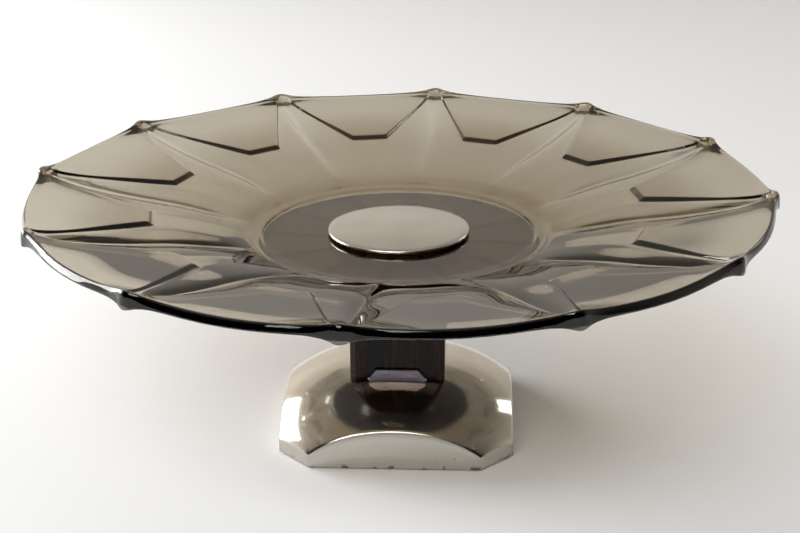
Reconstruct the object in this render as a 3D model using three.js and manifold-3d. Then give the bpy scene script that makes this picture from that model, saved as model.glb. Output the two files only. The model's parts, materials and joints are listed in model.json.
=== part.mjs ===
// Footed centrepiece dish: a smoked pressed-glass dish with twelve raised panels, clamped by a
// through rod between a silver cap and a domed, silver-plated foot, with an ebony block as the stem.
// Millimetres, +Z up. The origin is on the table, under the middle of the foot.
import * as THREE from "three";
import { mergeVertices } from "three/addons/utils/BufferGeometryUtils.js";
import Module from "manifold-3d";

const wasm = await Module();
wasm.setup();

// Driving dimensions
const rimRadius = 165; // axis to the tip of a rim corner
const rimHeight = 116.7; // table to the top of a rim corner
const panelCount = 12;
const dishTurn = -4.6; // degrees that the dish sits turned on its stem
const footHalf = 52; // axis to a long face of the foot
const footFaceHalf = 37.6; // half the length of a long face, the rest is a cut corner
const stemHalf = 21.2; // axis to a face of the stem
const stemCut = 2.4; // bevel on the stem's upright edges
const capRadius = 31.5;
const rodRadius = 3; // M6 rod
const play = 0.3; // clearance between pieces that touch

// Dish, heights below the rim corners
const ringRadius = 66.5; // bead round the flat floor
const floorDrop = 25;
const glassThick = 7;
const rimThick = 3.7; // rim midway between two corners
const cornerDeep = 3.6; // how much deeper the rim is at a corner
const rimSag = 3.1; // the rim between two corners lies lower than the corners
const nubReach = 2.4; // how far a corner stands out past the round rim
const panelInner = 107.2; // inner end of a panel
const panelInnerHalf = 9.1;
const panelOuter = 158;
const panelOuterHalf = 38;
const wallRun = 4; // plan width of the sloped step at a panel's inner end
const panelDrop = 11.1; // inner end of a panel, which stands proud of the lobes beside it
const holeRadius = 8.5;
const valleyProfile = [
  [ringRadius, -23.1],
  [80, -20.2],
  [100, -16],
  [126, -12.1],
  [148, -7.6],
  [157, -4.4],
  [162.5, -0.9],
  [165, -0.4],
];
// Rise of a lobe between two valleys
const lobeCrown = [
  [ringRadius, 0.2],
  [80, 1.2],
  [92, 1.7],
  [107, 1.7],
  [130, 1.7],
  [148, 1.2],
  [157, 0.3],
  [163, 0],
  [166, 0],
];

// Stack along the axis, heights above the table
const footBottom = 0.5; // the felt pad lifts the shell off the table
const footWall = 1.6;
const domeRadius = 73;
const domeRise = 60;
const domeBase = -30.4;
const domePower = 2.6;
const domeSteps = 9; // bands of the faceted dome
const dishFloor = rimHeight - floorDrop;
const dishUnder = dishFloor - glassThick;
const gasketThick = 1.2;
const seatThick = 1.6;
const seatRadius = 63;
const seatBottom = dishUnder - gasketThick - seatThick;
const capEdgeTop = rimHeight - 22.6;
const capUnder = capEdgeTop - 1.4;
const capCrown = 1.1;
const saddleBottom = 22;
const saddleRadius = 30;
const washerThick = 1.6;
const springThick = 1.8;
const nutThick = 5;
const nutAcrossFlats = 10;
const rodBottom = 10;
const rodTop = capUnder - 0.6;
const bossRadius = 6;
const bossBottom = dishUnder - 0.8;
const padThick = 1.6;
const baseThick = 1.5;
const postRadius = 4;
const postPlace = 33;
const screwRadius = 1.5;
const plaqueThick = 1.4;
const plaqueTop = 34.4;
const plaqueShoulder = 30.2;
const plaqueTopHalf = 9.8;
const plaqueHalf = 13.1;
const seatScrewPlace = 13;
const dowelPlace = 12;
const dowelRadius = 2;

const finishes = {
  glass: { color: 0x9c917c, roughness: 0.05, metalness: 0 },
  silver: { color: 0xb9b6b0, roughness: 0.15, metalness: 1 },
  steel: { color: 0x8c8d90, roughness: 0.35, metalness: 1 },
  brass: { color: 0xb08d4a, roughness: 0.35, metalness: 1 },
  ebony: { color: 0x1c1412, roughness: 0.2, metalness: 0 },
  cork: { color: 0xa37c52, roughness: 0.9, metalness: 0 },
  rubber: { color: 0x1b1b1c, roughness: 0.8, metalness: 0 },
  felt: { color: 0x24472f, roughness: 1, metalness: 0 },
};

const centrepiece = new THREE.Group();

function add(name, finish, geometry) {
  const mesh = new THREE.Mesh(geometry, new THREE.MeshStandardMaterial(finishes[finish]));
  mesh.name = name;
  centrepiece.add(mesh);
  return mesh;
}

// Solids: a closed geometry becomes a manifold, is joined or cut, and goes back to a geometry.
function solid(geometry) {
  const bare = geometry.clone();
  bare.deleteAttribute("normal");
  bare.deleteAttribute("uv");
  const merged = mergeVertices(bare, 1e-4);
  return new wasm.Manifold(
    new wasm.Mesh({
      numProp: 3,
      vertProperties: merged.attributes.position.array,
      triVerts: new Uint32Array(merged.index.array),
    }),
  );
}

function geometryOf(made) {
  const mesh = made.getMesh();
  const geometry = new THREE.BufferGeometry();
  geometry.setAttribute("position", new THREE.BufferAttribute(mesh.vertProperties, 3));
  geometry.setIndex(new THREE.BufferAttribute(mesh.triVerts, 1));
  geometry.computeVertexNormals();
  return geometry;
}

function cut(geometry, ...tools) {
  return geometryOf(tools.reduce((made, tool) => made.subtract(solid(tool)), solid(geometry)));
}

function common(first, second) {
  return geometryOf(solid(first).intersect(solid(second)));
}

// Turned about Z from [radius, height] points that run upwards on the outside.
function turned(points, segments = 24) {
  const profile = points.map(([radius, height]) => new THREE.Vector2(radius, height));
  return new THREE.LatheGeometry(profile, segments).rotateX(Math.PI / 2);
}

function cylinder(radius, bottom, top, segments = 24) {
  return turned([[0, bottom], [radius, bottom], [radius, top], [0, top]], segments);
}

function ring(inner, outer, bottom, top, segments = 24) {
  const section = [[inner, bottom], [outer, bottom], [outer, top], [inner, top], [inner, bottom]];
  return turned(section, segments);
}

function prism(outline, bottom, top) {
  const shape = new THREE.Shape(outline.map(([x, y]) => new THREE.Vector2(x, y)));
  const depth = top - bottom;
  return new THREE.ExtrudeGeometry(shape, { depth, bevelEnabled: false }).translate(0, 0, bottom);
}

// A square of the given half width with its corners cut off.
function cutSquare(half, faceHalf) {
  const outline = [];
  for (let quarter = 0; quarter < 4; quarter++) {
    const turn = (quarter * Math.PI) / 2;
    for (const side of [-faceHalf, faceHalf]) {
      const x = half * Math.cos(turn) - side * Math.sin(turn);
      const y = half * Math.sin(turn) + side * Math.cos(turn);
      outline.push([x, y]);
    }
  }
  return outline;
}

// Dish
function alongProfile(points, radius) {
  const last = points.length - 1;
  let k = 0;
  while (k < last - 1 && radius > points[k + 1][0]) k++;
  const slope = (i) => {
    const before = points[Math.max(i - 1, 0)];
    const after = points[Math.min(i + 1, last)];
    return (after[1] - before[1]) / (after[0] - before[0]);
  };
  const width = points[k + 1][0] - points[k][0];
  const t = (radius - points[k][0]) / width;
  const start = (1 + 2 * t) * (1 - t) ** 2 * points[k][1] + t * (1 - t) ** 2 * width * slope(k);
  const end = t * t * (3 - 2 * t) * points[k + 1][1] + t * t * (t - 1) * width * slope(k + 1);
  return start + end;
}

const pitch = (2 * Math.PI) / panelCount;

// Columns of one panel, from a valley through the panel to the next valley.
const columns = [
  { kind: "valley", side: -1 },
  { kind: "lobe", side: -1 },
  { kind: "edge", side: -1 },
  { kind: "foot", side: -1 },
  { kind: "middle", side: 0 },
  { kind: "foot", side: 1 },
  { kind: "edge", side: 1 },
  { kind: "lobe", side: 1 },
];

function panelShare(radius) {
  return THREE.MathUtils.clamp((radius - panelInner) / (panelOuter - panelInner), 0, 1);
}

function stepRun(radius) {
  return wallRun * (0.85 - 0.7 * panelShare(radius));
}

function columnAngle(column, radius) {
  const reach = Math.max(radius, panelInner);
  const half = THREE.MathUtils.lerp(panelInnerHalf, panelOuterHalf, panelShare(reach));
  const edge = Math.asin(half / reach);
  const foot = Math.asin((half - stepRun(reach)) / reach);
  const angle = { valley: pitch / 2, lobe: (pitch / 2 + edge) / 2, edge, foot, middle: 0 };
  return column.side * angle[column.kind];
}

function smoothStep(from, to, value) {
  return THREE.MathUtils.smoothstep(value, from, to);
}

// Share of a corner at an angle from the panel's middle: 1 on the corner, 0 midway.
function cornerShare(angle, width) {
  const away = (pitch / 2 - Math.abs(angle)) / THREE.MathUtils.degToRad(width);
  return Math.exp(-away * away);
}

function rimLine(angle) {
  return rimSag * (0.84 * (angle / (pitch / 2)) ** 2 - 1);
}

function rimOuter(angle) {
  return rimRadius - nubReach * (1 - cornerShare(angle, 1.8));
}

function lobeTop(column, radius) {
  const rise = { valley: 0, lobe: 0.75, edge: 1, foot: 1, middle: 1 }[column.kind];
  return alongProfile(valleyProfile, radius) + rise * alongProfile(lobeCrown, radius);
}

function panelPlane(angle, radius) {
  const start = panelInner + wallRun;
  const share = (radius * Math.cos(angle) - start) / (rimRadius - nubReach - start);
  return THREE.MathUtils.lerp(-panelDrop, -rimSag, share);
}

// Flat, and lifted near the rim to meet its line.
function panelTop(angle, radius) {
  const outer = rimRadius - nubReach;
  const lift = rimLine(angle) - panelPlane(angle, outer);
  const share = THREE.MathUtils.clamp((radius - 138) / (outer - 138), 0, 1.1);
  return panelPlane(angle, radius) + lift * share ** 2;
}

function dishTop(column, radius) {
  const angle = columnAngle(column, radius);
  const onPanel = column.kind === "foot" || column.kind === "middle";
  const raised = onPanel && radius > panelInner + wallRun - 0.01;
  const reach = smoothStep(rimOuter(angle) - 6, rimOuter(angle) - 2.2, radius);
  const nub = 0.16 * rimSag * cornerShare(angle, 1.7) * reach;
  return (raised ? panelTop(angle, radius) : lobeTop(column, radius)) + nub;
}

// Parallel to the top: flat under the floor, fluted under the lobes, plain under the rim.
function dishBottom(column, radius) {
  const angle = columnAngle(column, radius);
  const thin = THREE.MathUtils.lerp(6.6, 5.2, smoothStep(75, 107, radius));
  const bowl = lobeTop(column, Math.max(radius, ringRadius)) - thin;
  const reach = smoothStep(rimOuter(angle) - 4.5, rimOuter(angle) - 1.5, radius);
  const deep = cornerDeep * cornerShare(angle, 2.4) * reach;
  const beside = { valley: 1, lobe: 1, edge: 0.7, foot: 0, middle: 0 }[column.kind];
  const top = THREE.MathUtils.lerp(panelTop(angle, radius), lobeTop(column, radius), beside);
  const plain = top - rimThick - deep;
  const wall = THREE.MathUtils.lerp(bowl, plain, smoothStep(112, 150, radius));
  return THREE.MathUtils.lerp(-floorDrop - glassThick, wall, smoothStep(64.5, 76.5, radius));
}

// Section stations, anticlockwise: under the dish outwards, up the rim, back over the top.
function dishStations() {
  const stations = [];
  const under = (radius) => (column) => {
    return [radius, columnAngle(column, radius), dishBottom(column, radius)];
  };
  const over = (radius) => (column) => {
    return [radius, columnAngle(column, radius), dishTop(column, radius)];
  };
  for (const radius of [holeRadius, 40, 64.5, 70, 76.5, 86, 98, 110, 124, 138, 150, 157]) {
    stations.push(under(radius));
  }
  const rim = (inset, rise, drop) => (column) => {
    const radius = rimOuter(columnAngle(column, panelOuter)) - inset;
    const height = rise === null ? dishTop(column, radius) - drop : dishBottom(column, radius) + rise;
    return [radius, columnAngle(column, radius), height];
  };
  stations.push(rim(2.2, 0), rim(0.6, 0.08), rim(0, 0.7));
  stations.push(rim(0.6, null, 1.5), rim(1.2, null, 0.45), rim(2.2, null, 0));
  const stepEnd = panelInner + wallRun;
  for (const radius of [157, 150, 143, 135, 122, stepEnd, panelInner, 98, 88, 78, 71, ringRadius]) {
    stations.push(over(radius));
  }
  const bead = [[64.9, -24.2], [61.1, -24.4], [59.9, -floorDrop], [holeRadius, -floorDrop]];
  for (const [radius, drop] of bead) {
    stations.push((column) => [radius, columnAngle(column, radius), drop]);
  }
  return stations;
}

function glassDish() {
  const stations = dishStations();
  const total = panelCount * columns.length;
  const section = [...stations, stations[0]].map(() => new THREE.Vector2(1, 0));
  const geometry = new THREE.LatheGeometry(section, total);
  const position = geometry.attributes.position;
  for (let i = 0; i <= total; i++) {
    const column = columns[i % columns.length];
    const panel = Math.floor((i % total) / columns.length);
    for (let j = 0; j <= stations.length; j++) {
      const [radius, offset, drop] = stations[j % stations.length](column);
      const middle = (panel + 0.5) * pitch + THREE.MathUtils.degToRad(dishTurn);
      const angle = middle + offset;
      const index = i * section.length + j;
      const x = radius * Math.cos(angle);
      const y = radius * Math.sin(angle);
      position.setXYZ(index, x, y, rimHeight + drop);
    }
  }
  return geometry;
}

add("glass_dish", "glass", glassDish());

// Cap and what clamps the dish
const capProfile = [
  [0, capUnder],
  [capRadius - 0.3, capUnder],
  [capRadius, capUnder + 0.4],
  [capRadius, capEdgeTop - 0.4],
  [capRadius - 0.4, capEdgeTop],
];
for (const share of [0.8, 0.55, 0.3, 0]) {
  capProfile.push([(capRadius - 0.4) * share, capEdgeTop + capCrown * (1 - share ** 2)]);
}
add("centre_cap", "silver", turned(capProfile, 48));

const rodBore = rodRadius + play;
const bossBore = cylinder(rodBore, bossBottom - 1, rodTop + play);
add("cap_boss", "brass", cut(cylinder(bossRadius, bossBottom, capUnder), bossBore));
add("cap_gasket", "cork", ring(10, 24, dishFloor, capUnder, 32));
add("dish_bush", "rubber", ring(bossRadius + play, holeRadius - play, dishUnder + 0.5, dishFloor - 0.5));
add("dish_gasket", "cork", ring(holeRadius, 24, dishUnder - gasketThick, dishUnder, 32));

// Stem
const dome = (radius, drop) => {
  const share = 1 - (radius / domeRadius) ** domePower;
  return domeBase - drop + domeRise * share ** (1 / domePower);
};

function domeSolid(drop, reach = 68, segments = 48) {
  const points = [[0, -20], [reach, -20]];
  for (let k = 0; k <= domeSteps; k++) {
    const radius = reach * Math.sqrt(1 - k / domeSteps);
    points.push([radius, dome(radius, drop)]);
  }
  return turned(points, segments);
}

const stemOutline = cutSquare(stemHalf, stemHalf - stemCut);
const screwPlaces = [[1, 1], [-1, 1], [-1, -1], [1, -1]];

function at(geometry, x, y) {
  return geometry.clone().translate(x, y, 0);
}

function seatScrew(gap) {
  const top = seatBottom + seatThick + (gap ? 0.5 : 0);
  const head = 2.9 + gap;
  const shank = screwRadius + gap;
  const tip = seatBottom - 11 - gap;
  const neck = seatBottom + 0.1;
  const profile = [[0, tip], [shank, tip + 2], [shank, neck], [head, seatBottom + seatThick - 0.1]];
  return turned([...profile, [head, top], [0, top]], 12);
}

const dowel = (gap) => cylinder(dowelRadius + gap, saddleBottom + 1.5 - gap, 40 + gap, 12);
const seatHoles = screwPlaces.map(([x, y]) => at(seatScrew(play), x * seatScrewPlace, y * seatScrewPlace));
const dowelHoles = [-1, 1].map((side) => at(dowel(play), side * dowelPlace, 0));

const seatTop = seatBottom + seatThick;
const seatProfile = [
  [0, seatBottom],
  [seatRadius - 3, seatBottom],
  [seatRadius, seatBottom + 0.9],
  [seatRadius, seatTop + 0.9],
  [seatRadius - 3.4, seatTop],
  [0, seatTop],
];
add("seat_plate", "silver", cut(
  turned(seatProfile, 64),
  cylinder(rodBore, seatBottom - 1, seatBottom + seatThick + 1),
  ...seatHoles,
));

const plaquePin = (gap) => turned(
  [[0, 0], [0.6 + gap, 0], [0.6 + gap, 6 + gap], [0, 6 + gap]], 12,
).rotateX(-Math.PI / 2).translate(0, -stemHalf - play / 2, 32);
const pinHoles = [-1, 1].map((side) => at(plaquePin(play), side * 7, 0));

add("stem_block", "ebony", cut(
  prism(stemOutline, 20, seatBottom),
  domeSolid(-play / 2),
  cylinder(rodBore, 0, seatBottom + 1),
  ...seatHoles,
  ...dowelHoles,
  ...pinHoles,
));

screwPlaces.forEach(([x, y], k) => {
  const place = `seat_screw_${k + 1}`;
  add(place, "brass", at(seatScrew(0), x * seatScrewPlace, y * seatScrewPlace));
});

[-1, 1].forEach((side) => {
  const name = side < 0 ? "stem_dowel_left" : "stem_dowel_right";
  add(name, "steel", at(dowel(0), side * dowelPlace, 0));
});

// Plaque that stands against the front of the stem
function plaque() {
  const outline = [
    [-plaqueHalf, 24],
    [plaqueHalf, 24],
    [plaqueHalf, plaqueShoulder],
    [plaqueTopHalf, plaqueTop],
    [-plaqueTopHalf, plaqueTop],
    [-plaqueHalf, plaqueShoulder],
  ];
  const upright = prism(outline, 0, plaqueThick).rotateX(Math.PI / 2);
  return cut(upright.translate(0, -stemHalf - play / 2, 0), domeSolid(-play / 2));
}
add("front_plaque", "silver", plaque());
[-1, 1].forEach((side) => {
  const name = side < 0 ? "plaque_pin_left" : "plaque_pin_right";
  add(name, "brass", at(plaquePin(0), side * 7, 0));
});

add("tie_rod", "steel", cylinder(rodRadius, rodBottom, rodTop));

// Foot
function footShell() {
  const outline = cutSquare(footHalf, footFaceHalf);
  const outer = common(prism(outline, footBottom, 40), domeSolid(0));
  const slant = footWall * (Math.SQRT2 - 1);
  const innerOutline = cutSquare(footHalf - footWall, footFaceHalf - slant);
  const inner = common(prism(innerOutline, -5, 40), domeSolid(footWall));
  return cut(outer, inner, cylinder(rodBore, 0, 40), ...dowelHoles);
}
add("foot_shell", "silver", footShell());

function saddlePlate() {
  const blank = cylinder(saddleRadius, saddleBottom, 40, 32);
  const nested = common(blank, domeSolid(footWall + play / 2));
  return cut(nested, cylinder(rodBore, 0, 40), ...dowelHoles);
}
add("saddle_plate", "steel", saddlePlate());

const washerBottom = saddleBottom - washerThick;
const springBottom = washerBottom - springThick;
const nutBottom = springBottom - nutThick;
add("clamp_washer", "steel", ring(rodBore, 11, washerBottom, saddleBottom));

function springWasher() {
  const slot = new THREE.BoxGeometry(8, 0.8, 4 * springThick);
  slot.translate(6, 0, springBottom);
  return cut(ring(rodBore, 5.2, springBottom, washerBottom), slot);
}
add("spring_washer", "steel", springWasher());

function hexNut() {
  const corner = nutAcrossFlats / 2 / Math.cos(Math.PI / 6);
  const nut = cylinder(corner, nutBottom, springBottom, 6);
  return cut(nut, cylinder(rodBore, 0, 40));
}
add("clamp_nut", "steel", hexNut());

const baseTop = padThick + baseThick;
const padOutline = cutSquare(footHalf - 2.4, footFaceHalf - 1);
const baseOutline = cutSquare(footHalf - footWall - play, footFaceHalf - 0.8);

function baseScrew(gap) {
  const tip = baseTop + 7 + gap;
  const shank = screwRadius + gap;
  const head = 2.7 + gap;
  const low = padThick - (gap ? 0.5 : 0);
  const profile = [[0, low], [head, low], [head, padThick + 0.2], [shank, baseTop - 0.1]];
  return turned([...profile, [shank, tip], [0, tip]], 12);
}

const postAt = screwPlaces.map(([x, y]) => [x * postPlace, y * postPlace]);
const baseHoles = postAt.map(([x, y]) => at(baseScrew(play), x, y));
add("base_plate", "steel", cut(prism(baseOutline, padThick, baseTop), ...baseHoles));
add("base_pad", "felt", prism(padOutline, 0, padThick));

postAt.forEach(([x, y], k) => {
  const post = common(at(cylinder(postRadius, baseTop, 40), x, y), domeSolid(footWall + play / 2));
  add(`foot_post_${k + 1}`, "brass", cut(post, at(baseScrew(play), x, y)));
  add(`base_screw_${k + 1}`, "steel", at(baseScrew(0), x, y));
});

export default centrepiece;
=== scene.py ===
import json
import math
import bpy
import bmesh
from mathutils import Matrix, Vector


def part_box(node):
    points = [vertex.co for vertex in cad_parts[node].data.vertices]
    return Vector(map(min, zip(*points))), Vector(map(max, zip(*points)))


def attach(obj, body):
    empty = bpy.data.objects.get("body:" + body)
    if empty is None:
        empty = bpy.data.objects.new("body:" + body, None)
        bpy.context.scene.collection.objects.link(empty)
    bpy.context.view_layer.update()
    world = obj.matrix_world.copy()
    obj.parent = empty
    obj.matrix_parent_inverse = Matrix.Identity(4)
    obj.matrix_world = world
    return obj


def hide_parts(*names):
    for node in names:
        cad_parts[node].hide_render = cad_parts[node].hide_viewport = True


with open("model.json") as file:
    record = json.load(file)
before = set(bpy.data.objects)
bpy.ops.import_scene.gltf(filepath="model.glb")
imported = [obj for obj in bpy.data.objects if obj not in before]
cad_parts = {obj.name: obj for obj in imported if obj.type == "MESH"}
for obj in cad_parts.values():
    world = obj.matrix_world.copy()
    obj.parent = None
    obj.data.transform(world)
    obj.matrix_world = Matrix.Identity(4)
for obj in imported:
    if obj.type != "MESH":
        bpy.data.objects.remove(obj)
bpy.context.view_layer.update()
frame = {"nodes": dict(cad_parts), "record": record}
mm = 0.001
print("frame loaded:", len(frame["nodes"]), "nodes")

view = {
    "turn": 2.6,  # degrees the camera stands round to the right of the foot's front
    "elevation": 21.01,
    "distance": 675.7 * mm,
    "target": (0.5 * mm, 0.0, 75.2 * mm),
    "lens": 67.5,  # on a 36 mm sensor
    "roll": -0.26,
}


def placeCamera():
    camData = bpy.data.cameras.new("camera")
    camData.lens = view["lens"]
    camData.sensor_width = 36
    camData.clip_start = 0.01
    cam = bpy.data.objects.new("camera", camData)
    bpy.context.scene.collection.objects.link(cam)
    up = math.radians(view["elevation"])
    turn = math.radians(view["turn"])
    back = Vector((math.sin(turn) * math.cos(up), -math.cos(turn) * math.cos(up), math.sin(up)))
    place = Vector(view["target"]) + back * view["distance"]
    aim = back.to_track_quat("Z", "Y").to_matrix().to_4x4()
    rolled = aim @ Matrix.Rotation(math.radians(view["roll"]), 4, "Z")
    cam.matrix_world = Matrix.Translation(place) @ rolled
    bpy.context.scene.camera = cam
    bpy.context.scene.view_settings.view_transform = "Standard"


placeCamera()


def srgb(code):
    # sRGB hex to linear
    channels = [int(code[i:i + 2], 16) / 255 for i in (1, 3, 5)]
    return tuple(c / 12.92 if c <= 0.04045 else ((c + 0.055) / 1.055) ** 2.4 for c in channels) + (1.0,)


def addNode(tree, kind, links=None, **settings):
    # adds a node; settings are its properties or, if no such property, its input values
    node = tree.nodes.new(kind)
    for name, value in settings.items():
        if hasattr(node, name):
            setattr(node, name, value)
        else:
            node.inputs[name.replace("_", " ")].default_value = value
    for socket, source in (links or {}).items():
        tree.links.new(source, node.inputs[socket])
    return node


def newMaterial(name):
    mat = bpy.data.materials.new(name)
    mat.use_nodes = True
    tree = mat.node_tree
    shader = tree.nodes["Principled BSDF"]
    return mat, tree, shader


def areaLight(name, size, place, aim, power, tint="#ffffff"):
    data = bpy.data.lights.new(name, "AREA")
    data.shape = "RECTANGLE"
    data.size, data.size_y = size
    data.energy = power
    data.color = srgb(tint)[:3]
    lamp = bpy.data.objects.new(name, data)
    bpy.context.scene.collection.objects.link(lamp)
    lamp.location = place
    lamp.rotation_euler = (Vector(place) - Vector(aim)).to_track_quat("Z", "Y").to_euler()
    return lamp


def studio():
    # pale room: bright above and behind, dark in front, with a tall window at the back left
    world = bpy.data.worlds.new("studio")
    bpy.context.scene.world = world
    world.use_nodes = True
    tree = world.node_tree
    coords = addNode(tree, "ShaderNodeTexCoord")
    split = addNode(tree, "ShaderNodeSeparateXYZ", {"Vector": coords.outputs["Generated"]})
    behind = addNode(tree, "ShaderNodeValToRGB", {"Fac": split.outputs["Z"]})
    stops = [(0.0, "#e8dfd2"), (0.3, "#eae1d5"), (0.42, "#cfc5b6"), (0.62, "#aaa196"), (0.9, "#bdb6ac")]
    spread(behind, stops)
    front = addNode(tree, "ShaderNodeValToRGB", {"Fac": split.outputs["Z"]})
    spread(front, [(0.0, "#161412"), (0.6, "#22201e"), (0.95, "#bdb6ac")])
    side = addNode(tree, "ShaderNodeMapRange", {"Value": split.outputs["Y"]}, interpolation_type="SMOOTHSTEP")
    side.inputs["From Min"].default_value = -0.45
    side.inputs["From Max"].default_value = 0.15
    mix = addNode(tree, "ShaderNodeMixRGB", {
        "Fac": side.outputs["Result"], "Color1": front.outputs["Color"], "Color2": behind.outputs["Color"]})
    back = tree.nodes["Background"]
    tree.links.new(mix.outputs["Color"], back.inputs["Color"])
    fall = addNode(tree, "ShaderNodeMapRange", {"Value": split.outputs["X"]}, interpolation_type="SMOOTHSTEP")
    for socket, value in (("From Min", -0.8), ("From Max", 0.8), ("To Min", 1.1), ("To Max", 0.5)):
        fall.inputs[socket].default_value = value
    tree.links.new(fall.outputs["Result"], back.inputs["Strength"])
    areaLight("window_back_left", (1.0, 0.8), (-1.3, 0.6, 0.45), (0, 0, 0.08), 24)
    areaLight("soft_front_left", (2.2, 1.5), (-0.6, -2.0, 2.1), (0, 0.2, 0), 58)
    areaLight("strip_back_right", (0.3, 0.6), (1.2, 1.1, 0.75), (0, 0, 0.1), 2)


def spread(ramp, stops):
    # sets a colour ramp's stops
    ends = ramp.color_ramp.elements
    while len(ends) < len(stops):
        ends.new(0.5)
    for stop, (where, code) in zip(ends, stops):
        stop.position = where
        stop.color = srgb(code)


studio()


def layFloor():
    bpy.ops.mesh.primitive_plane_add(size=12)
    floor = bpy.context.object
    floor.name = "floor"
    mat, tree, shader = newMaterial("studio_paper")
    shader.inputs["Base Color"].default_value = srgb("#eff1f3")
    shader.inputs["Roughness"].default_value = 0.9
    floor.data.materials.append(mat)


layFloor()
print("camera, lights and floor placed")


def newPiece(name, verts, faces, material, smooth=True):
    mesh = bpy.data.meshes.new(name)
    mesh.from_pydata(verts, [], faces)
    mesh.update()
    piece = bpy.data.objects.new(name, mesh)
    bpy.context.scene.collection.objects.link(piece)
    if material:
        mesh.materials.append(material)
    tidyMesh(mesh, smooth)
    return piece


def tidyMesh(mesh, smooth=True):
    work = bmesh.new()
    work.from_mesh(mesh)
    bmesh.ops.remove_doubles(work, verts=work.verts, dist=1e-6)
    bmesh.ops.recalc_face_normals(work, faces=work.faces)
    work.to_mesh(mesh)
    work.free()
    for face in mesh.polygons:
        face.use_smooth = smooth


def applyModifiers(piece):
    # swaps the piece's mesh for its evaluated one and clears its modifiers
    depsgraph = bpy.context.evaluated_depsgraph_get()
    baked = bpy.data.meshes.new_from_object(piece.evaluated_get(depsgraph))
    piece.modifiers.clear()
    old = piece.data
    piece.data = baked
    baked.name = piece.name
    bpy.data.meshes.remove(old)
    return piece


def turnedPiece(name, profile, material, steps=96, closed=False):
    # profile: (radius, height) points from the axis round to the axis, or a closed loop, turned about Z
    verts, faces = [], []
    ringStart = []
    for radius, height in profile:
        ringStart.append(len(verts))
        if radius < 1e-7:
            verts.append((0, 0, height))
        else:
            for k in range(steps):
                angle = 2 * math.pi * k / steps
                verts.append((radius * math.cos(angle), radius * math.sin(angle), height))
    for row in range(len(profile) - (0 if closed else 1)):
        after = (row + 1) % len(profile)
        low, high = ringStart[row], ringStart[after]
        lowPole, highPole = profile[row][0] < 1e-7, profile[after][0] < 1e-7
        for k in range(steps):
            n = (k + 1) % steps
            if lowPole and highPole:
                continue
            if lowPole:
                faces.append((low, high + k, high + n))
            elif highPole:
                faces.append((low + k, low + n, high))
            else:
                faces.append((low + k, low + n, high + n, high + k))
    return newPiece(name, verts, faces, material)


def along(points, where):
    # smooth curve through (position, value) points
    last = len(points) - 1
    k = 0
    while k < last - 1 and where > points[k + 1][0]:
        k += 1

    def slope(i):
        before, after = points[max(i - 1, 0)], points[min(i + 1, last)]
        return (after[1] - before[1]) / (after[0] - before[0])

    width = points[k + 1][0] - points[k][0]
    t = (where - points[k][0]) / width
    start = (1 + 2 * t) * (1 - t) ** 2 * points[k][1] + t * (1 - t) ** 2 * width * slope(k)
    end = t * t * (3 - 2 * t) * points[k + 1][1] + t * t * (t - 1) * width * slope(k + 1)
    return start + end


def smoothStep(low, high, value):
    t = min(max((value - low) / (high - low), 0), 1)
    return t * t * (3 - 2 * t)


def blendTo(a, b, t):
    return a + (b - a) * t


glass = {
    "panels": 12,
    "turn": -4.6,  # degrees the dish sits turned on its stem
    "ring": 66.5,  # all sizes in mm, heights below the rim corners
    "floorDrop": 25.0,
    "thick": 7.0,
    "rimThick": 3.7,
    "rimSag": 3.1,
    "nubReach": 2.4,
    "panelInner": 107.2,
    "panelInnerHalf": 9.1,
    "panelOuter": 158.0,
    "panelOuterHalf": 38.0,
    "wallRun": 4.0,
    "panelDrop": 11.1,  # top of a panel's inner end; the panel stands proud of the lobes beside it
    "crown": [
        (66.5, 0.2), (80, 1.2), (92, 1.7), (107, 1.7), (130, 1.7), (148, 1.2), (157, 0.3), (163, 0.0),
        (166, 0.0)],
    "hole": 8.5,
    "valley": [
        (66.5, -23.1), (80, -20.2), (100, -16.0), (126, -12.1), (148, -7.6), (157, -4.4), (162.5, -0.9),
        (165, -0.4)],
    "crease": 0.7,  # depth of the groove along a valley
    "cornerDeep": 3.6,  # how much deeper the rim is under a corner
    "cornerRise": 0.16,  # share of rimSag by which a corner rises above the rim's curve
}
rimRadius = 165.0
rimHeight = 116.7
halfPitch = math.pi / glass["panels"]
innerEdge = math.asin(glass["panelInnerHalf"] / glass["panelInner"])
# columns of half a panel: share of its flat's half width, of its step's run, or of the lobe up to the valley
halfColumns = [
    ("floor", 0.0), ("floor", 0.45), ("floor", 0.85),
    ("wall", -0.1), ("wall", 0.16), ("wall", 0.38), ("wall", 0.5),
    ("wall", 0.62), ("wall", 0.84), ("wall", 1.12),
    ("lobe", 0.3), ("lobe", 0.6), ("lobe", 0.8), ("lobe", 0.91), ("lobe", 1.0),
]


def smokedGlass():
    # pressed soda glass coloured in the melt, fire-polished: clear taupe, darker where it is thicker
    mat, tree, shader = newMaterial("smoked_pressed_glass")
    shader.inputs["Base Color"].default_value = (1, 1, 1, 1)
    shader.inputs["Roughness"].default_value = 0.015
    shader.inputs["IOR"].default_value = 1.52
    shader.inputs["Transmission Weight"].default_value = 1.0
    volume = addNode(tree, "ShaderNodeVolumeAbsorption", Color=(0.45, 0.36, 0.175, 1), Density=240.0)
    tree.links.new(volume.outputs["Volume"], tree.nodes["Material Output"].inputs["Volume"])
    lamp = addNode(tree, "ShaderNodeBsdfTransparent", Color=srgb("#e0ddd7"))
    path = addNode(tree, "ShaderNodeLightPath")
    mix = addNode(tree, "ShaderNodeMixShader", {
        0: path.outputs["Is Shadow Ray"], 1: shader.outputs[0], 2: lamp.outputs[0]})
    tree.links.new(mix.outputs[0], tree.nodes["Material Output"].inputs["Surface"])
    return mat


def panelShare(radius):
    return min(max((radius - glass["panelInner"]) / (glass["panelOuter"] - glass["panelInner"]), 0), 1)


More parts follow.
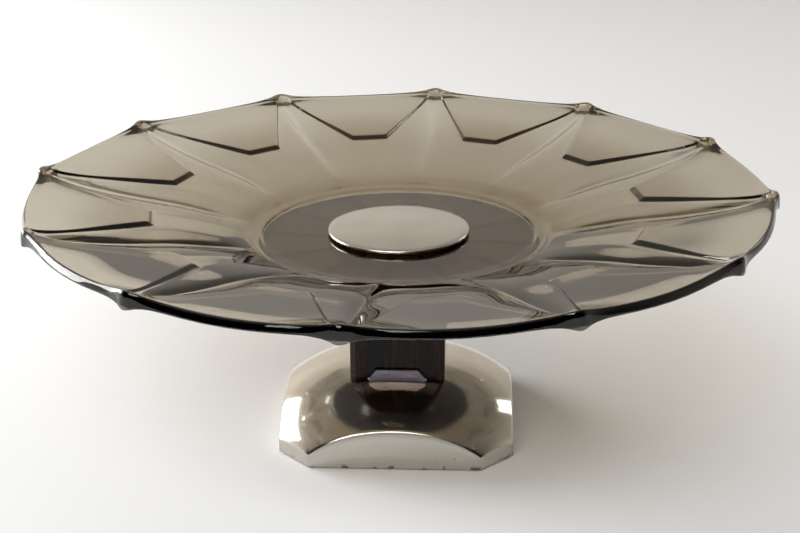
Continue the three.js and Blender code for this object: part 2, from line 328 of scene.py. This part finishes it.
def edgeHalf(radius):
    return blendTo(glass["panelInnerHalf"], glass["panelOuterHalf"], panelShare(radius))


def wallRun(radius):
    return glass["wallRun"] * (0.85 - 0.7 * panelShare(radius))


def columnAngle(column, radius):
    # angle from the panel's middle line to this column at this radius
    kind, where = column
    reach = max(radius, glass["panelInner"])
    edge = edgeHalf(reach)
    foot = edge - wallRun(reach)
    if kind == "floor":
        return math.asin(foot * where / reach)
    if kind == "wall":
        return math.asin(blendTo(foot, edge, where) / reach)
    return blendTo(math.asin(edge / reach), halfPitch, where)


def cornerShare(angle, width):
    away = (halfPitch - abs(angle)) / math.radians(width)
    return math.exp(-away * away)


def rimLine(angle):
    return glass["rimSag"] * ((1 - glass["cornerRise"]) * (angle / halfPitch) ** 2 - 1)


def rimOuter(angle):
    return rimRadius - glass["nubReach"] * (1 - cornerShare(angle, 1.8))


def lobeTop(angle, radius):
    reach = max(radius, glass["panelInner"])
    start = math.asin(edgeHalf(reach) / reach)
    away = min((halfPitch - abs(angle)) / (halfPitch - start), 1)
    rise = math.sin(away * math.pi / 2)
    return along(glass["valley"], radius) + rise * along(glass["crown"], radius)


def panelPlane(angle, radius):
    inner = glass["panelInner"] + glass["wallRun"]
    outer = rimRadius - glass["nubReach"]
    share = (radius * math.cos(angle) - inner) / (outer - inner)
    return blendTo(-glass["panelDrop"], -glass["rimSag"], share)


def panelTop(angle, radius):
    # flat, and lifted near the rim to meet its line
    outer = rimRadius - glass["nubReach"]
    lift = rimLine(angle) - panelPlane(angle, outer)
    return panelPlane(angle, radius) + lift * min(max((radius - 138) / (outer - 138), 0), 1.1) ** 2


def wallShape(share):
    # rounded edge, steeper middle, small fillet
    return 0.4 * smoothStep(0, 1, share) + 0.6 * smoothStep(0.2, 0.8, share)


def dishTop(angle, radius):
    lobe = lobeTop(angle, radius)
    inward = radius * math.cos(angle) - glass["panelInner"] * math.cos(innerEdge)
    aside = edgeHalf(radius) - radius * math.sin(abs(angle))
    raised = wallShape(min(max(min(inward / glass["wallRun"], aside / wallRun(radius)), 0), 1))
    length = smoothStep(70, 90, radius) * (1 - smoothStep(145, 158, radius))
    lobe -= glass["crease"] * cornerShare(angle, 1.3) * length
    nub = glass["cornerRise"] * glass["rimSag"] * cornerShare(angle, 1.7)
    nub *= smoothStep(rimOuter(angle) - 6, rimOuter(angle) - 2.2, radius)
    return blendTo(lobe, panelTop(angle, radius), raised) + nub


def dishBottom(angle, radius):
    # runs parallel to the top: flat under the floor, fluted under the lobes, plain under the rim
    reach = max(radius, glass["panelInner"])
    edge = math.asin(edgeHalf(reach) / reach)
    lobe = lobeTop(angle, max(radius, glass["ring"]))
    bowl = lobe - blendTo(6.6, 5.2, smoothStep(75, 107, radius))
    beside = smoothStep(edge - 0.06, edge + 0.03, abs(angle))
    plain = blendTo(panelTop(angle, radius), lobe, beside) - glass["rimThick"]
    nearRim = smoothStep(rimOuter(angle) - 4.5, rimOuter(angle) - 1.5, radius)
    plain -= glass["cornerDeep"] * cornerShare(angle, 2.4) * nearRim
    wall = blendTo(bowl, plain, smoothStep(112, 150, radius))
    return blendTo(-glass["floorDrop"] - glass["thick"], wall, smoothStep(64.5, 76.5, radius))


def dishSection():
    # each station gives a column's (radius, angle, height): outwards underneath, round the rim, back on top
    stations = []

    def under(radius):
        def station(column):
            angle = columnAngle(column, radius)
            return (radius, angle, dishBottom(angle, radius))
        stations.append(station)

    def level(radius, height):
        stations.append(lambda column: (radius, columnAngle(column, radius), height))

    def over(radius):
        def station(column):
            angle = columnAngle(column, radius)
            reach = radius
            if abs(radius - glass["panelInner"] - 1.4) < 2.5:  # the end step runs straight across
                reach = radius * math.cos(innerEdge) / math.cos(min(angle, innerEdge))
            return (reach, angle, dishTop(angle, reach))
        stations.append(station)

    def rim(inset, drop, rise):
        # drop is measured down from the top surface, rise up from the underside
        def station(column):
            angle = columnAngle(column, glass["panelOuter"])
            radius = rimOuter(angle) - inset
            height = dishTop(angle, radius) - drop if rise is None else dishBottom(angle, radius) + rise
            return (radius, angle, height)
        stations.append(station)

    for radius in (glass["hole"], 12, 30, 50, 61, 65, 69, 73, 78, 86, 95, 105, 116, 127, 137, 146, 152, 156):
        under(radius)
    for inset, rise in ((3.4, 0.0), (1.5, 0.0), (0.6, 0.08), (0.15, 0.3), (0.0, 0.7)):
        rim(inset, 0, rise)
    for inset, drop in ((0.35, 2.2), (0.75, 1.2), (1.15, 0.5), (1.5, 0.15), (2.0, 0.02), (2.8, 0.0)):
        rim(inset, drop, None)
    inner = glass["panelInner"]
    run = glass["wallRun"]
    for radius in (158.6, 157, 154, 149, 143, 137, 130, 124, 118, inner + run + 2.6):
        over(radius)
    for share in (1.1, 0.84, 0.62, 0.5, 0.38, 0.16, -0.12):
        over(inner + run * share)
    for radius in (inner - 3, 100, 94, 88, 82, 77, 73, 70, 67.7):
        over(radius)
    bead = [(66.7, 23.1), (66.1, 23.6), (65.5, 24.05), (64.5, 24.2)]
    bead += [(62.1, 24.2), (61.1, 24.35), (60.5, 24.8)]
    for radius, drop in bead:
        level(radius, -drop)
    for radius in (59.7, 55, 40, 20, 10, glass["hole"]):
        level(radius, -glass["floorDrop"])
    return stations


def dishSector():
    # one panel from valley to valley, about +X
    columns = [(kind, where, -1) for kind, where in reversed(halfColumns[1:])]
    columns += [(kind, where, 1) for kind, where in halfColumns]
    stations = dishSection()
    verts, faces = [], []
    for kind, where, side in columns:
        for station in stations:
            radius, angle, drop = station((kind, where))
            angle *= side
            x, y = radius * math.cos(angle), radius * math.sin(angle)
            verts.append((x * mm, y * mm, (rimHeight + drop) * mm))
    rows = len(stations)
    for c in range(len(columns) - 1):
        for r in range(rows):
            n = (r + 1) % rows
            faces.append((c * rows + r, (c + 1) * rows + r, (c + 1) * rows + n, c * rows + n))
    mesh = bpy.data.meshes.new("glassDish")
    mesh.from_pydata(verts, [], faces)
    mesh.update()
    piece = bpy.data.objects.new("glassDish", mesh)
    bpy.context.scene.collection.objects.link(piece)
    return piece


def repeatAround(piece, count, turn, material):
    # Geometry Nodes: copies the sector round Z, welds the seams and smooths the result
    tree = bpy.data.node_groups.new("repeatAround", "GeometryNodeTree")
    face = tree.interface
    face.new_socket("Geometry", in_out="INPUT", socket_type="NodeSocketGeometry")
    countIn = face.new_socket("Count", in_out="INPUT", socket_type="NodeSocketInt")
    turnIn = face.new_socket("Turn", in_out="INPUT", socket_type="NodeSocketFloat")
    weldIn = face.new_socket("Weld Distance", in_out="INPUT", socket_type="NodeSocketFloat")
    face.new_socket("Geometry", in_out="OUTPUT", socket_type="NodeSocketGeometry")
    given = addNode(tree, "NodeGroupInput")
    points = addNode(tree, "GeometryNodePoints", {"Count": given.outputs["Count"]})
    index = addNode(tree, "GeometryNodeInputIndex")
    step = addNode(tree, "ShaderNodeMath", {1: given.outputs["Count"]}, operation="DIVIDE")
    step.inputs[0].default_value = 2 * math.pi
    angle = addNode(tree, "ShaderNodeMath", {
        0: index.outputs[0], 1: step.outputs[0], 2: given.outputs["Turn"]}, operation="MULTIPLY_ADD")
    spin = addNode(tree, "ShaderNodeCombineXYZ", {"Z": angle.outputs[0]})
    copies = addNode(tree, "GeometryNodeInstanceOnPoints", {
        "Points": points.outputs[0], "Instance": given.outputs["Geometry"], "Rotation": spin.outputs[0]})
    real = addNode(tree, "GeometryNodeRealizeInstances", {"Geometry": copies.outputs[0]})
    weld = addNode(tree, "GeometryNodeMergeByDistance", {
        "Geometry": real.outputs[0], "Distance": given.outputs["Weld Distance"]})
    finer = addNode(tree, "GeometryNodeSubdivisionSurface", {"Mesh": weld.outputs[0]}, Level=1)
    soft = addNode(tree, "GeometryNodeSetShadeSmooth", {"Geometry": finer.outputs[0]})
    paint = addNode(tree, "GeometryNodeSetMaterial", {"Geometry": soft.outputs[0]})
    paint.inputs["Material"].default_value = material
    addNode(tree, "NodeGroupOutput", {"Geometry": paint.outputs[0]})
    modifier = piece.modifiers.new("repeatAround", "NODES")
    modifier.node_group = tree
    modifier[countIn.identifier] = count
    modifier[turnIn.identifier] = turn
    modifier[weldIn.identifier] = 0.00001
    return applyModifiers(piece)


def makeDish():
    material = smokedGlass()
    sector = dishSector()
    turn = math.radians(glass["turn"]) + halfPitch
    dish = repeatAround(sector, glass["panels"], turn, material)
    print("dish faces", len(dish.data.polygons))
    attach(dish, "root")
    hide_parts("glass_dish")
    return dish


makeDish()
print("dish made")


def satinSilver():
    # silver plate, wiped to a satin: a soft mirror with fine hair scratches, each under 0.1 mm wide
    mat, tree, shader = newMaterial("satin_silver_plate")
    coords = addNode(tree, "ShaderNodeTexCoord")
    cloud = addNode(tree, "ShaderNodeTexNoise", {"Vector": coords.outputs["Object"]}, Scale=60.0, Detail=4.0)
    tone = addNode(tree, "ShaderNodeValToRGB", {"Fac": cloud.outputs["Fac"]})
    spread(tone, [(0.3, "#cfccc8"), (0.7, "#dcdad7")])
    dull = addNode(tree, "ShaderNodeMapRange", {"Value": cloud.outputs["Fac"]})
    dull.inputs["To Min"].default_value = 0.17
    dull.inputs["To Max"].default_value = 0.27
    hairs = []
    for turn, scale in ((0.5, 90.0), (2.1, 70.0)):  # two families of hair lines across each other
        lay = addNode(tree, "ShaderNodeMapping", {"Vector": coords.outputs["Object"]})
        lay.inputs["Rotation"].default_value = (0, 0, turn)
        lay.inputs["Scale"].default_value = (1, 0.04, 1)
        warp = addNode(tree, "ShaderNodeTexNoise", {"Vector": lay.outputs[0]}, Scale=scale * 12, Detail=1.0)
        line = addNode(tree, "ShaderNodeMapRange", {"Value": warp.outputs["Fac"]})
        line.inputs["From Min"].default_value = 0.69
        line.inputs["From Max"].default_value = 0.75
        hairs.append(line.outputs["Result"])
    both = addNode(tree, "ShaderNodeMath", {0: hairs[0], 1: hairs[1]}, operation="MAXIMUM")
    cut = addNode(
        tree, "ShaderNodeBump", {"Height": both.outputs[0]}, Strength=0.35, Distance=0.00006, invert=True)
    tree.links.new(tone.outputs["Color"], shader.inputs["Base Color"])
    tree.links.new(dull.outputs["Result"], shader.inputs["Roughness"])
    tree.links.new(cut.outputs["Normal"], shader.inputs["Normal"])
    shader.inputs["Metallic"].default_value = 1.0
    return mat


cap = {"radius": 31.5, "lip": 1.4, "crown": 1.1}  # mm


def makeCap():
    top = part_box("centre_cap")[1][2]
    radius, lip, crown = cap["radius"] * mm, cap["lip"] * mm, cap["crown"] * mm
    shoulder = top - crown
    under = shoulder - lip
    profile = [(0, under), (radius * 0.5, under), (radius - 0.8 * mm, under)]
    profile += [(radius - 0.25 * mm, under + 0.1 * mm)]
    profile += [(radius, under + 0.4 * mm), (radius, shoulder - 0.45 * mm)]
    profile += [(radius - 0.12 * mm, shoulder - 0.15 * mm), (radius - 0.45 * mm, shoulder)]
    for k in range(1, 13):
        share = 1 - k / 12
        profile.append(((radius - 0.5 * mm) * share, shoulder + crown * (1 - share ** 2)))
    piece = turnedPiece("centreCap", profile, satinSilver(), 128)
    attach(piece, "root")
    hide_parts("centre_cap")


makeCap()

foot = {
    "half": 52.0, "faceHalf": 37.6, "bottom": 0.5, "wall": 1.6,
    "domeRadius": 73.0, "domeRise": 60.0, "domeBase": -30.4, "domePower": 2.6,
}


def domeHeight(radius):
    share = 1 - (radius / foot["domeRadius"]) ** foot["domePower"]
    return foot["domeBase"] + foot["domeRise"] * share ** (1 / foot["domePower"])


def mirrorSilver(name="mirror_silver_plate", wall=False):
    # silver plate over brass, buffed: a warm mirror with wipe marks and pinholes; where "wall" is 1, satin
    # and a tone darker as painted shade
    mat, tree, shader = newMaterial(name)
    coords = addNode(tree, "ShaderNodeTexCoord")
    cloud = addNode(tree, "ShaderNodeTexNoise", {"Vector": coords.outputs["Object"]}, Scale=45.0, Detail=5.0)
    tone = addNode(tree, "ShaderNodeValToRGB", {"Fac": cloud.outputs["Fac"]})
    spread(tone, [(0.3, "#d6d0c6"), (0.7, "#e6e1d9")])
    gloss = addNode(tree, "ShaderNodeMapRange", {"Value": cloud.outputs["Fac"]})
    gloss.inputs["To Min"].default_value = 0.06
    gloss.inputs["To Max"].default_value = 0.13
    # a cell each 7 mm
    pits = addNode(tree, "ShaderNodeTexVoronoi", {"Vector": coords.outputs["Object"]}, Scale=150.0)
    pitMask = addNode(tree, "ShaderNodeMapRange", {"Value": pits.outputs["Distance"]})
    for socket, value in (("From Min", 0.035), ("From Max", 0.06), ("To Min", 1.0), ("To Max", 0.0)):
        pitMask.inputs[socket].default_value = value
    colour, rough = tone.outputs["Color"], gloss.outputs["Result"]
    if wall:
        side = addNode(tree, "ShaderNodeAttribute", attribute_name="wall")
        # painted shade: the walls take a darker tone than the dome, as well as the rougher satin finish
        satin = addNode(tree, "ShaderNodeMixRGB", {"Fac": side.outputs["Fac"], "Color1": colour})
        satin.inputs["Color2"].default_value = srgb("#cdc8c0")
        colour = satin.outputs["Color"]
        rougher = addNode(
            tree, "ShaderNodeMath", {0: side.outputs["Fac"], 2: rough}, operation="MULTIPLY_ADD")
        rougher.inputs[1].default_value = 0.26
        rough = rougher.outputs[0]
        place = addNode(tree, "ShaderNodeSeparateXYZ", {"Vector": coords.outputs["Object"]})
        low = addNode(tree, "ShaderNodeMapRange", {"Value": place.outputs["Z"]})
        for socket, value in (("From Min", 0.0008), ("From Max", 0.0028), ("To Min", 1.0), ("To Max", 0.0)):
            low.inputs[socket].default_value = value
        chips = addNode(
            tree, "ShaderNodeTexNoise", {"Vector": coords.outputs["Object"]}, Scale=210.0, Detail=3.0)
        chipMask = addNode(tree, "ShaderNodeMapRange", {"Value": chips.outputs["Fac"]})
        chipMask.inputs["From Min"].default_value = 0.56
        chipMask.inputs["From Max"].default_value = 0.62
        both = {0: low.outputs["Result"], 1: chipMask.outputs["Result"]}
        worn = addNode(tree, "ShaderNodeMath", both, operation="MULTIPLY")
        tarnish = addNode(tree, "ShaderNodeMixRGB", {"Fac": worn.outputs[0], "Color1": colour})
        tarnish.inputs["Color2"].default_value = srgb("#4b4036")
        colour = tarnish.outputs["Color"]
    spots = addNode(tree, "ShaderNodeMixRGB", {"Fac": pitMask.outputs["Result"], "Color1": colour})
    spots.inputs["Color2"].default_value = srgb("#6b6156")
    tree.links.new(spots.outputs["Color"], shader.inputs["Base Color"])
    tree.links.new(rough, shader.inputs["Roughness"])
    grain = addNode(tree, "ShaderNodeTexNoise", {"Vector": coords.outputs["Object"]}, Scale=700.0, Detail=2.0)
    bump = addNode(tree, "ShaderNodeBump", {"Height": grain.outputs["Fac"]}, Strength=0.02, Distance=0.0001)
    tree.links.new(bump.outputs["Normal"], shader.inputs["Normal"])
    shader.inputs["Metallic"].default_value = 1.0
    return mat


def makeFoot():
    # octagon rings from the axis outwards on the dome, then down the walls and back underneath
    half, faceHalf = foot["half"], foot["faceHalf"]
    outline = []
    for quarter in range(4):
        turn = quarter * math.pi / 2
        start = (half, -faceHalf)
        end = (half, faceHalf)
        nextCorner = (faceHalf, half)
        for k in range(24):
            outline.append((blendTo(start[0], end[0], k / 24), blendTo(start[1], end[1], k / 24), turn))
        for k in range(8):
            share = k / 8
            x, y = blendTo(end[0], nextCorner[0], share), blendTo(end[1], nextCorner[1], share)
            outline.append((x, y, turn))
    points = [(x * math.cos(t) - y * math.sin(t), x * math.sin(t) + y * math.cos(t)) for x, y, t in outline]
    count = len(points)
    rings = []
    for share in [0.06, 0.12, 0.2, 0.3, 0.4, 0.5, 0.6, 0.7, 0.78, 0.86, 0.93, 0.975]:
        rings.append([(x * share, y * share, domeHeight(math.hypot(x, y) * share)) for x, y in points])
    edge = 0.35
    inset = 1 - edge / half
    rings.append([(x * inset, y * inset, domeHeight(math.hypot(x, y) * inset)) for x, y in points])
    rings.append([(x, y, domeHeight(math.hypot(x, y)) - edge) for x, y in points])
    for share in (0.33, 0.66):
        low = foot["bottom"] + 0.4
        rings.append([(x, y, blendTo(domeHeight(math.hypot(x, y)) - edge, low, share)) for x, y in points])
    rings.append([(x, y, foot["bottom"] + 0.4) for x, y in points])
    rings.append([(x * inset, y * inset, foot["bottom"]) for x, y in points])
    innerShare = 1 - foot["wall"] / half
    rings.append([(x * innerShare, y * innerShare, foot["bottom"]) for x, y in points])
    for share in (0.97, 0.9, 0.75, 0.5, 0.25, 0.1, 0.06):
        inner = share * innerShare
        under = [domeHeight(math.hypot(x, y) * share) - foot["wall"] for x, y in points]
        rings.append([(x * inner, y * inner, z) for (x, y), z in zip(points, under)])
    verts = [(x * mm, y * mm, z * mm) for ring in rings for x, y, z in ring]
    wall = [1.0 if 13 <= r <= 17 else 0.0 for r, ring in enumerate(rings) for place in ring]
    faces = []
    total = len(rings)
    for r in range(total):
        n = (r + 1) % total
        for k in range(count):
            j = (k + 1) % count
            faces.append((r * count + k, n * count + k, n * count + j, r * count + j))
    piece = newPiece("footShell", verts, faces, mirrorSilver("silver_plate_foot", True))
    piece.data.attributes.new("wall", "FLOAT", "POINT").data.foreach_set("value", wall)
    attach(piece, "root")
    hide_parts("foot_shell")
    return piece


makeFoot()

stem = {"half": 21.2, "cut": 2.4, "soft": 0.25}  # mm


def macassar():
    # macassar ebony, french polished: near-black with fine red-brown stripes along the grain
    mat, tree, shader = newMaterial("macassar_ebony")
    coords = addNode(tree, "ShaderNodeTexCoord")
    grain = addNode(tree, "ShaderNodeMapping", {"Vector": coords.outputs["Object"]})
    grain.inputs["Scale"].default_value = (1, 1, 0.06)
    # stripes of 2 to 4 mm
    stripes = addNode(tree, "ShaderNodeTexNoise", {"Vector": grain.outputs[0]}, Scale=230.0, Detail=3.0)
    pores = addNode(tree, "ShaderNodeTexNoise", {"Vector": grain.outputs[0]}, Scale=1500.0, Detail=2.0)
    tone = addNode(tree, "ShaderNodeValToRGB", {"Fac": stripes.outputs["Fac"]})
    spread(tone, [(0.36, "#0c0807"), (0.48, "#180d0b"), (0.58, "#3c1f19"), (0.68, "#1e110e")])
    inputs = {"Fac": pores.outputs["Fac"], "Color1": tone.outputs["Color"]}
    fine = addNode(tree, "ShaderNodeMixRGB", inputs, blend_type="MULTIPLY")
    fine.inputs["Color2"].default_value = srgb("#6f6a68")
    tree.links.new(fine.outputs["Color"], shader.inputs["Base Color"])
    shader.inputs["Roughness"].default_value = 0.16
    shader.inputs["Specular IOR Level"].default_value = 0.15
    shader.inputs["Coat Weight"].default_value = 0.08
    shader.inputs["Coat Roughness"].default_value = 0.04
    bump = addNode(tree, "ShaderNodeBump", {"Height": pores.outputs["Fac"]}, Strength=0.03, Distance=0.0002)
    tree.links.new(bump.outputs["Normal"], shader.inputs["Normal"])
    return mat


def softBlock(name, outline, low, high, soft, material):
    # an upright block on an outline, its edges eased; low may be a function of (x, y)
    verts, faces = [], []
    count = len(outline)
    foot = low if callable(low) else lambda x, y: low
    rings = [[(x * (1 - soft / 20), y * (1 - soft / 20), foot(x, y)) for x, y in outline]]
    rings.append([(x, y, foot(x, y) + soft) for x, y in outline])
    rings.append([(x, y, high - soft) for x, y in outline])
    rings.append([(x * (1 - soft / 20), y * (1 - soft / 20), high) for x, y in outline])
    for ring in rings:
        verts += [(x * mm, y * mm, z * mm) for x, y, z in ring]
    for r in range(3):
        for k in range(count):
            j = (k + 1) % count
            faces.append((r * count + k, r * count + j, (r + 1) * count + j, (r + 1) * count + k))
    lowMid, highMid = len(verts), len(verts) + 1
    verts += [(0, 0, foot(0, 0) * mm), (0, 0, high * mm)]
    for k in range(count):
        j = (k + 1) % count
        faces.append((lowMid, j, k))
        faces.append((highMid, 3 * count + k, 3 * count + j))
    return newPiece(name, verts, faces, material, False)


def makeStem():
    half, cut = stem["half"], stem["cut"]
    outline = []
    for quarter in range(4):
        turn = quarter * math.pi / 2
        side = [(half, -half + cut + (2 * half - 2 * cut) * k / 12) for k in range(13)]
        side += [(half - cut * k / 3, half - cut + cut * k / 3) for k in range(1, 3)]
        cosTurn, sinTurn = math.cos(turn), math.sin(turn)
        outline += [(x * cosTurn - y * sinTurn, x * sinTurn + y * cosTurn) for x, y in side]
    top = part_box("stem_block")[1][2] / mm
    gap = 0.2
    low = lambda x, y: domeHeight(math.hypot(x, y)) + gap
    block = softBlock("stemBlock", outline, low, top, stem["soft"], macassar())
    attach(block, "root")
    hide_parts("stem_block")


makeStem()

plaque = {"half": 13.1, "topHalf": 9.8, "top": 34.4, "shoulder": 30.2, "thick": 1.4, "bevel": 0.45}  # mm


def plaqueFaceReflectionSilver():
    # silver plate on the plaque's face, painted a purple-grey tone as painted reflection, rubbed along its
    # length
    mat, tree, shader = newMaterial("plaque_face_painted_reflection")
    coords = addNode(tree, "ShaderNodeTexCoord")
    lay = addNode(tree, "ShaderNodeMapping", {"Vector": coords.outputs["Object"]})
    lay.inputs["Scale"].default_value = (0.08, 1, 1)
    rub = addNode(tree, "ShaderNodeTexNoise", {"Vector": lay.outputs[0]}, Scale=1400.0, Detail=3.0)
    tone = addNode(tree, "ShaderNodeValToRGB", {"Fac": rub.outputs["Fac"]})
    spread(tone, [(0.3, "#6f6a72"), (0.6, "#86818a"), (0.75, "#aba6ad")])
    tree.links.new(tone.outputs["Color"], shader.inputs["Base Color"])
    dull = addNode(tree, "ShaderNodeMapRange", {"Value": rub.outputs["Fac"]})
    dull.inputs["To Min"].default_value = 0.2
    dull.inputs["To Max"].default_value = 0.4
    tree.links.new(dull.outputs["Result"], shader.inputs["Roughness"])
    shader.inputs["Metallic"].default_value = 1.0
    return mat


def makePlaque():
    # clipped-corner plate with a bright bevel round its face
    bevel = plaque["bevel"]
    back = -stem["half"] - 0.15
    front = back - plaque["thick"]
    foot = domeHeight(math.hypot(0, front)) + 0.1
    side = domeHeight(math.hypot(plaque["half"], front)) + 0.1
    half, topHalf, shoulder = plaque["half"], plaque["topHalf"], plaque["shoulder"]
    outline = [(-half, side), (0, foot), (half, side), (half, shoulder)]
    outline += [(topHalf, plaque["top"]), (-topHalf, plaque["top"]), (-half, shoulder)]
    middle = (0, (plaque["shoulder"] + foot) / 2)
    verts, faces = [], []

    def loop(inset, y):
        for x, z in outline:
            reach = math.hypot(x - middle[0], z - middle[1])
            share = 1 - inset / reach * 1.3
            rise = z if z < plaque["shoulder"] - 0.5 else middle[1] + (z - middle[1]) * share
            verts.append(((middle[0] + (x - middle[0]) * share) * mm, y * mm, rise * mm))

    loop(0, back)
    loop(0, front + bevel * 0.6)
    loop(bevel, front)
    count = len(outline)
    for r in range(2):
        for k in range(count):
            j = (k + 1) % count
            faces.append((r * count + k, r * count + j, (r + 1) * count + j, (r + 1) * count + k))
    faces.append(tuple(range(count)))
    faces.append(tuple(range(3 * count - 1, 2 * count - 1, -1)))
    plate = newPiece("frontPlaque", verts, faces, plaqueFaceReflectionSilver(), False)
    plate.data.materials.append(mirrorSilver())
    # painted reflection: the flat face takes the purple-grey tone, the bevel and edges the bright mirror
    # silver
    for face in plate.data.polygons:
        face.material_index = 0 if abs(face.normal.y) > 0.95 else 1
    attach(plate, "root")
    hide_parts("front_plaque")


makePlaque()


seat = {"radius": 63.0, "lip": 0.9, "bore": 3.3}  # mm


def mattSilver():
    # silver plate left matt from the bath, with twelve darker rays of painted shade under the dish's valleys,
    # standing in for the shade of its creases: blurs what it mirrors
    mat, tree, shader = newMaterial("matt_silver_plate")
    coords = addNode(tree, "ShaderNodeTexCoord")
    cloud = addNode(tree, "ShaderNodeTexNoise", {"Vector": coords.outputs["Object"]}, Scale=35.0, Detail=4.0)
    tone = addNode(tree, "ShaderNodeValToRGB", {"Fac": cloud.outputs["Fac"]})
    spread(tone, [(0.3, "#e8dccd"), (0.7, "#f6ecdf")])
    # painted shade: a cosine of the bearing darkens twelve rays lined up with the dish's valleys
    split = addNode(tree, "ShaderNodeSeparateXYZ", {"Vector": coords.outputs["Object"]})
    plane = {0: split.outputs["Y"], 1: split.outputs["X"]}
    bearing = addNode(tree, "ShaderNodeMath", plane, operation="ARCTAN2")
    turned = addNode(tree, "ShaderNodeMath", {0: bearing.outputs[0]}, operation="MULTIPLY_ADD")
    turned.inputs[1].default_value = glass["panels"]
    turned.inputs[2].default_value = -math.radians(glass["turn"]) * glass["panels"]
    wave = addNode(tree, "ShaderNodeMath", {0: turned.outputs[0]}, operation="COSINE")
    crease_shade_ray = addNode(tree, "ShaderNodeMapRange", {"Value": wave.outputs[0]}, interpolation_type="SMOOTHSTEP")
    crease_shade_ray.inputs["From Min"].default_value = 0.55
    shade = addNode(tree, "ShaderNodeMixRGB", {"Fac": crease_shade_ray.outputs["Result"], "Color1": tone.outputs["Color"]})
    shade.inputs["Color2"].default_value = srgb("#a89c8f")
    tree.links.new(shade.outputs["Color"], shader.inputs["Base Color"])
    dull = addNode(tree, "ShaderNodeMapRange", {"Value": cloud.outputs["Fac"]})
    dull.inputs["To Min"].default_value = 0.36
    dull.inputs["To Max"].default_value = 0.48
    tree.links.new(dull.outputs["Result"], shader.inputs["Roughness"])
    shader.inputs["Metallic"].default_value = 1.0
    return mat


def seatUndersideShade():
    # near-black glossy coat on the seat plate's underside, slightly uneven: painted shade standing in for the
    # shadowed floor it mirrors
    mat, tree, shader = newMaterial("seat_underside_painted_shade")
    coords = addNode(tree, "ShaderNodeTexCoord")
    flow = addNode(tree, "ShaderNodeTexNoise", {"Vector": coords.outputs["Object"]}, Scale=90.0, Detail=2.0)
    tone = addNode(tree, "ShaderNodeValToRGB", {"Fac": flow.outputs["Fac"]})
    spread(tone, [(0.3, "#262525"), (0.7, "#323131")])
    tree.links.new(tone.outputs["Color"], shader.inputs["Base Color"])
    shader.inputs["Roughness"].default_value = 0.16
    bump = addNode(tree, "ShaderNodeBump", {"Height": flow.outputs["Fac"]}, Strength=0.05, Distance=0.0002)
    tree.links.new(bump.outputs["Normal"], shader.inputs["Normal"])
    return mat


def makeSeatPlate():
    # round plate that carries the glass, with a low lip round its edge
    low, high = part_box("seat_plate")[0][2] / mm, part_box("seat_plate")[1][2] / mm
    top, radius = high - seat["lip"], seat["radius"]
    profile = [(seat["bore"], low), (30, low), (radius - 3, low)]
    profile += [(radius - 1.4, low + 0.25), (radius - 0.3, low + 0.8)]
    profile += [(radius, low + 1.2), (radius, high - 0.4), (radius - 0.15, high - 0.1), (radius - 0.5, high)]
    profile += [(radius - 1.1, high - 0.12), (radius - 2, top + 0.3)]
    profile += [(radius - 3.2, top + 0.04), (radius - 4, top)]
    profile += [(30, top), (seat["bore"], top)]
    plate = turnedPiece("seatPlate", [(r * mm, z * mm) for r, z in profile], mattSilver(), 144, True)
    plate.data.materials.append(seatUndersideShade())
    # painted shade: the downward faces take the near-black coat
    for face in plate.data.polygons:
        face.material_index = 1 if face.normal.z < -0.5 else 0
    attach(plate, "root")
    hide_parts("seat_plate")


makeSeatPlate()


def grainedMaterial(name, colours, scale, metallic, roughness, stretch=(1, 1, 1), depth=0.0001):
    # noise-mottled finish: colours are its darker and lighter tone, roughness its smooth and dull ends
    mat, tree, shader = newMaterial(name)
    coords = addNode(tree, "ShaderNodeTexCoord")
    lay = addNode(tree, "ShaderNodeMapping", {"Vector": coords.outputs["Object"]})
    lay.inputs["Scale"].default_value = stretch
    grain = addNode(tree, "ShaderNodeTexNoise", {"Vector": lay.outputs[0]}, Scale=scale, Detail=4.0)
    tone = addNode(tree, "ShaderNodeValToRGB", {"Fac": grain.outputs["Fac"]})
    spread(tone, [(0.35, colours[0]), (0.65, colours[1])])
    tree.links.new(tone.outputs["Color"], shader.inputs["Base Color"])
    dull = addNode(tree, "ShaderNodeMapRange", {"Value": grain.outputs["Fac"]})
    dull.inputs["To Min"].default_value = roughness[0]
    dull.inputs["To Max"].default_value = roughness[1]
    tree.links.new(dull.outputs["Result"], shader.inputs["Roughness"])
    shader.inputs["Metallic"].default_value = metallic
    bump = addNode(tree, "ShaderNodeBump", {"Height": grain.outputs["Fac"]}, Strength=0.3, Distance=depth)
    tree.links.new(bump.outputs["Normal"], shader.inputs["Normal"])
    return mat


# scales count features per metre: 400 gives patches of about 2.5 mm
finishes = {
    "brass": grainedMaterial(
        "turned_brass", ("#a07c3e", "#c29c58"), 400.0, 1.0, (0.22, 0.38), (1, 1, 8), 0.00003),
    "steel": grainedMaterial(
        "zinc_plated_steel", ("#828487", "#a2a4a6"), 500.0, 1.0, (0.3, 0.48), (1, 1, 1), 0.00003),
    "cork": grainedMaterial(
        "ground_cork_sheet", ("#6a4526", "#a47c50"), 900.0, 0.0, (0.8, 0.95), (1, 1, 1), 0.0003),
    "rubber": grainedMaterial("black_rubber", ("#151515", "#242424"), 700.0, 0.0, (0.6, 0.8)),
    "felt": grainedMaterial(
        "green_wool_felt", ("#1b3d27", "#2f5a3d"), 1800.0, 0.0, (0.92, 1.0), (1, 1, 1), 0.0004),
    "ebony": macassar(),
    "silver_polished": mirrorSilver(),
    "silver_satin": satinSilver(),
    "smoked_glass": smokedGlass(),
}
for part in frame["record"]["subparts"]:
    node = frame["nodes"][part["node"]]
    node.data.materials.clear()
    node.data.materials.append(finishes[part["material_slot"]])
print("finishes given")
